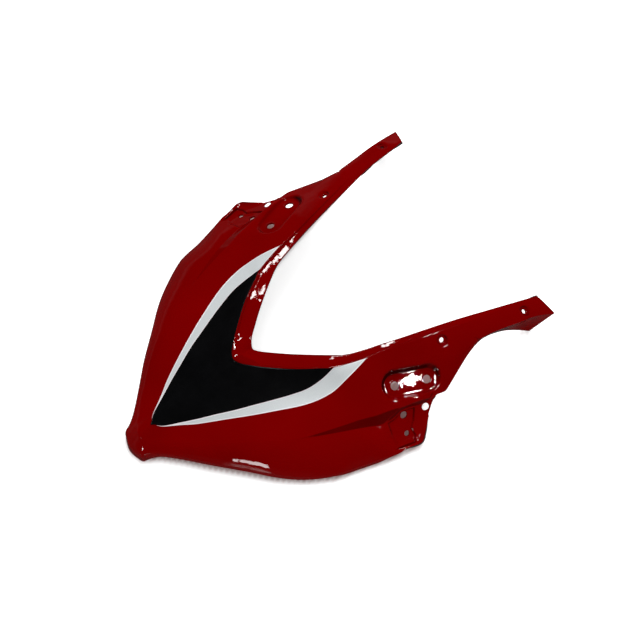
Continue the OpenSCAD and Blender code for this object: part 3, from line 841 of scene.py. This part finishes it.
# Black film, a little dusty, so that its gloss and its black vary.
def blackMaterial():
    c = filmLook
    material, tree, shader = newMaterial("blackFilm")
    dust = objectNoise(tree, c["dustScale"], 5, 0.7)
    soft = tree.nodes.new("ShaderNodeMapRange")
    soft.inputs["To Min"].default_value, soft.inputs["To Max"].default_value = c["blackRoughness"]
    tree.links.new(dust, soft.inputs["Value"])
    tree.links.new(soft.outputs["Result"], shader.inputs["Roughness"])
    colour = colourRamp(tree, dust, [(0.3, c["black"]), (0.8, c["dusty"])])
    tree.links.new(colour, shader.inputs["Base Color"])
    wave = bumpFrom(tree, objectNoise(tree, c["waveScale"], 1), c["blackWave"])
    tree.links.new(wave, shader.inputs["Normal"])
    shader.inputs["Specular IOR Level"].default_value = c["blackSpecular"]
    return material


# Silver film with a fine metallic grain, a pale pinstripe inside both edges and the paint showing
# at the cut.
def silverMaterial():
    c = filmLook
    material, tree, shader = newMaterial("silverFilm")
    grain = objectNoise(tree, c["grainScale"], 2)
    body = colourRamp(tree, grain, [(0.35, c["silverDark"]), (0.65, c["silver"])])
    centimetres = 100         # a ramp's stops lie between 0 and 1
    fromEdge = mathNode(tree, "MULTIPLY", layerValue(tree, "edgeDistance"), centimetres)
    hem, line = c["hemTo"] * centimetres, c["pinstripeTo"] * centimetres
    edging = colourRamp(tree, fromEdge, [(0, c["hem"]), (hem, c["pinstripe"]), (line, c["pinstripe"])])
    inside = mathNode(tree, "GREATER_THAN", fromEdge, line)
    tree.links.new(blendedColour(tree, inside, edging, body), shader.inputs["Base Color"])
    wave = bumpFrom(tree, objectNoise(tree, c["waveScale"], 1), c["silverWave"])
    tree.links.new(wave, shader.inputs["Normal"])
    shader.inputs["Metallic"].default_value = c["silverMetallic"]
    shader.inputs["Roughness"].default_value = c["silverRoughness"]
    return material


view = {
    "azimuth": 54.61, "elevation": 68.29, "place": (0.331, -0.2160, 1.040), "lens": 47.81,
    "nearest": 0.01,
}
studio = {
    "ambient": 0.93,          # light from all round on matt surfaces
    "wallGlow": 0.13, "wallShade": 0.05,       # in gloss the wall is bright at -x and dim at +x,
    "wallSpan": [-0.4, 0.3], "ceilingGlow": 0.004,      # and the ceiling is dark
    "wallTop": 0.02, "ceilingFrom": 0.16,      # height of the way looked, 0 level and 1 upright
    # Name, place, aimed at, width, height, watts, seen in gloss, spread in degrees
    "lamps": [
        ["stripLamp", (-0.40, 0.64, 2.0), (0.0, 0.03, 0.08), 0.36, 0.09, 4.5, True],
        ["topLamp", (0.13, 0.16, 2.06), (0.07, 0, 0.08), 0.50, 0.08, 10, True],
        ["pocketLamp", (0.318, 0.167, 0.330), (0.136, 0.057, 0.054), 0.044, 0.027, 0.027, True,
         17],
        ["beakLamp", (0.26, -1.68, 0.54), (0, -0.25, 0.03), 0.10, 0.05, 0.7, True],
        ["lowLamp", (1.07, -1.244, 0.27), (0.11, -0.156, 0.035), 0.17, 0.20, 1.9, True],
        ["backLamp", (-1.4, 1.4, 2.2), (0, 0, 0), 1.6, 1.6, 36, False],
    ],
    # floorInGloss is the table's colour in reflections only: a painted darkening of what the paint
    # reflects
    "floorSize": 12, "floorColour": (0.90, 0.90, 0.90), "floorInGloss": (0.05, 0.05, 0.05),
    "floorRoughness": 0.3,
    "paintedFloorShadow": (0.42, 0.25, 0.24),          # painted shadow: reddish grey colour of the table where the cowl covers it
    "floorGlow": 0.60,        # painted brightness, only for the camera, that hides shade where the table is open. Distances from the cowl, in millimetres:
    "glowEdge": [-4, 6],      # none this far inside its outline, full this far outside it
    "glowInside": [-16, -6],  # the same where the edge stands high
    "glowHigh": [22, 32],     # heights at which an edge starts to count as high, and does
    "glowUnder": [20, 30],    # full this near to the rim of the notch, none this far from it
    "edgeStep": 4,            # every 4th station of the cowl's edges is used for this
    "fineFloor": [0.32, 0.38, 0.005],          # half width, half length and step of the fine part
}


# Camera from azimuth, elevation and place: back points from the object to the camera.
def makeCamera():
    a, e = math.radians(view["azimuth"]), math.radians(view["elevation"])
    right = Vector((math.cos(a), math.sin(a), 0))
    back = Vector((math.sin(a) * math.cos(e), -math.cos(a) * math.cos(e), math.sin(e)))
    up = back.cross(right)
    data = bpy.data.cameras.new("viewCamera")
    data.lens = view["lens"]
    data.clip_start = view["nearest"]
    camera = bpy.data.objects.new("viewCamera", data)
    bpy.context.scene.collection.objects.link(camera)
    x, y, z = view["place"]
    camera.matrix_world = Matrix(((right.x, up.x, back.x, x), (right.y, up.y, back.y, y),
                                  (right.z, up.z, back.z, z), (0, 0, 0, 1)))
    bpy.context.scene.camera = camera


# A lamp is seen either in gloss or by matt surfaces, and never by the camera.
def makeLamps():
    for name, place, target, width, height, watts, inGloss, *spread in studio["lamps"]:
        data = bpy.data.lights.new(name, "AREA")
        data.shape = "RECTANGLE"
        data.size, data.size_y, data.energy = width, height, watts
        data.spread = math.radians(*spread or [180])
        lamp = bpy.data.objects.new(name, data)
        lamp.location = place
        lamp.visible_glossy = inGloss
        lamp.visible_diffuse = not inGloss
        lamp.visible_camera = False
        lamp.rotation_euler = (Vector(place) - Vector(target)).to_track_quat("Z", "Y").to_euler()
        bpy.context.scene.collection.objects.link(lamp)


# The room: white to the camera, an even soft light on matt surfaces, and for gloss a pale wall
# under a dark ceiling.
def makeWorld():
    world = bpy.data.worlds.new("studioRoom")
    bpy.context.scene.world = world
    world.use_nodes = True
    tree = world.node_tree
    tree.nodes.clear()
    path = tree.nodes.new("ShaderNodeLightPath")
    way = tree.nodes.new("ShaderNodeTexCoord")
    split = tree.nodes.new("ShaderNodeSeparateXYZ")
    tree.links.new(way.outputs["Generated"], split.inputs[0])

    def mapped(value, fromSpan, toSpan):
        node = tree.nodes.new("ShaderNodeMapRange")
        node.inputs["From Min"].default_value, node.inputs["From Max"].default_value = fromSpan
        node.inputs["To Min"].default_value, node.inputs["To Max"].default_value = toSpan
        tree.links.new(value, node.inputs["Value"])
        return node

    def background(strength):
        node = tree.nodes.new("ShaderNodeBackground")
        node.inputs["Color"].default_value = (1, 1, 1, 1)
        node.inputs["Strength"].default_value = strength
        return node

    def mixed(factor, a, b):
        mix = tree.nodes.new("ShaderNodeMixShader")
        tree.links.new(factor, mix.inputs[0])
        tree.links.new(a.outputs[0], mix.inputs[1])
        tree.links.new(b.outputs[0], mix.inputs[2])
        return mix

    c = studio
    wall = mapped(split.outputs["X"], c["wallSpan"], (c["wallGlow"], c["wallShade"]))
    fade = mapped(split.outputs["Z"], (c["wallTop"], c["ceilingFrom"]), (0, c["ceilingGlow"]))
    tree.links.new(wall.outputs["Result"], fade.inputs["To Min"])
    room = background(1)
    tree.links.new(fade.outputs["Result"], room.inputs["Strength"])
    soft = mixed(path.outputs["Is Glossy Ray"], background(studio["ambient"]), room)
    seen = mixed(path.outputs["Is Camera Ray"], soft, background(1))
    out = tree.nodes.new("ShaderNodeOutputWorld")
    tree.links.new(seen.outputs[0], out.inputs["Surface"])


# White table. It is lit like any white sheet, and glows for the camera, a painted brightness that
# hides shade, where the cowl leaves it open to the light: away from the outer edge of the cowl, under
# edges that stand high, and under the rim of the notch. Where the cowl covers it, its colour is a
# reddish painted shadow, and in reflections it is nearly black, a painted darkening of what the paint
# reflects.
def makeFloor(skin):
    c = studio
    material, tree, shader = newMaterial("whiteTable")
    shader.inputs["Roughness"].default_value = c["floorRoughness"]
    path = tree.nodes.new("ShaderNodeLightPath")
    openness = layerValue(tree, "openness")
    # painted shadow under the cowl, and a near-black table in reflections
    shade = blendedColour(tree, openness, c["paintedFloorShadow"], c["floorColour"])
    tone = blendedColour(tree, path.outputs["Is Glossy Ray"], shade, c["floorInGloss"])
    tree.links.new(tone, shader.inputs["Base Color"])
    glow = mathNode(tree, "MULTIPLY", path.outputs["Is Camera Ray"], openness)
    strength = mathNode(tree, "MULTIPLY", glow, c["floorGlow"])
    shader.inputs["Emission Color"].default_value = (1, 1, 1, 1)
    tree.links.new(strength, shader.inputs["Emission Strength"])
    halfX, halfY, step = c["fineFloor"]
    far = c["floorSize"] / 2
    x = np.concatenate([[-far], np.arange(-halfX, halfX + step / 2, step), [far]]) / mm
    y = np.concatenate([[-far], np.arange(-halfY, halfY + step / 2, step), [far]]) / mm
    place = np.stack([*np.meshgrid(x, y, indexing="ij"), np.zeros((len(x), len(y)))], -1)
    floor = meshObject("table", place.reshape(-1, 3), quadsOf(len(x), len(y), 0, True))
    floor.data.materials.append(material)
    every = c["edgeStep"]
    rim, lip = skin[::every, 0, :2], skin[::every, -1, :2]
    outside = outlineDistance(place[..., :2], np.concatenate([rim, lip[::-1]]))
    toRim = np.sqrt(np.min(((place[..., None, :2] - rim) ** 2).sum(-1), -1))
    nearest = np.argmin(((place[..., None, :2] - lip) ** 2).sum(-1), -1)
    high = smoothShare(skin[::every, -1, 2], *c["glowHigh"])[nearest]
    share = np.maximum(smoothShare(outside, *c["glowEdge"]), 1 - smoothShare(toRim, *c["glowUnder"]))
    share = np.maximum(share, high * smoothShare(outside, *c["glowInside"]))
    pointLayer(floor, "openness", share)


# Gives a piece its materials and its place in the part.
def dress(piece, node, slot, *materials):
    for material in materials:
        piece.data.materials.append(material)
    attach(piece, "root")
    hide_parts(node)


makeCamera()
makeLamps()
makeWorld()

cowlSkin, outerFaces, screwPlaces, lowPlace, skin = makeCowl()
makeFloor(skin)
print("studio set")
side = np.zeros(len(cowlSkin.data.polygons), dtype=np.int32)
side[outerFaces:] = 1         # the inner side and the edges are bare plastic
cowlSkin.data.polygons.foreach_set("material_index", side)
drillHoles(cowlSkin, screwPlaces, lowPlace)
dress(cowlSkin, "shell", "red_paint", paintMaterial(), backMaterial())
blackField, stripes = makeFilms()
dress(blackField, "black_field", "black_film", blackMaterial())
silver = silverMaterial()
for stripe, node in zip(stripes, ("left_stripe", "right_stripe")):
    dress(stripe, node, "silver_film", silver)
print("pieces dressed")

bpy.context.scene.view_settings.view_transform = "Standard"
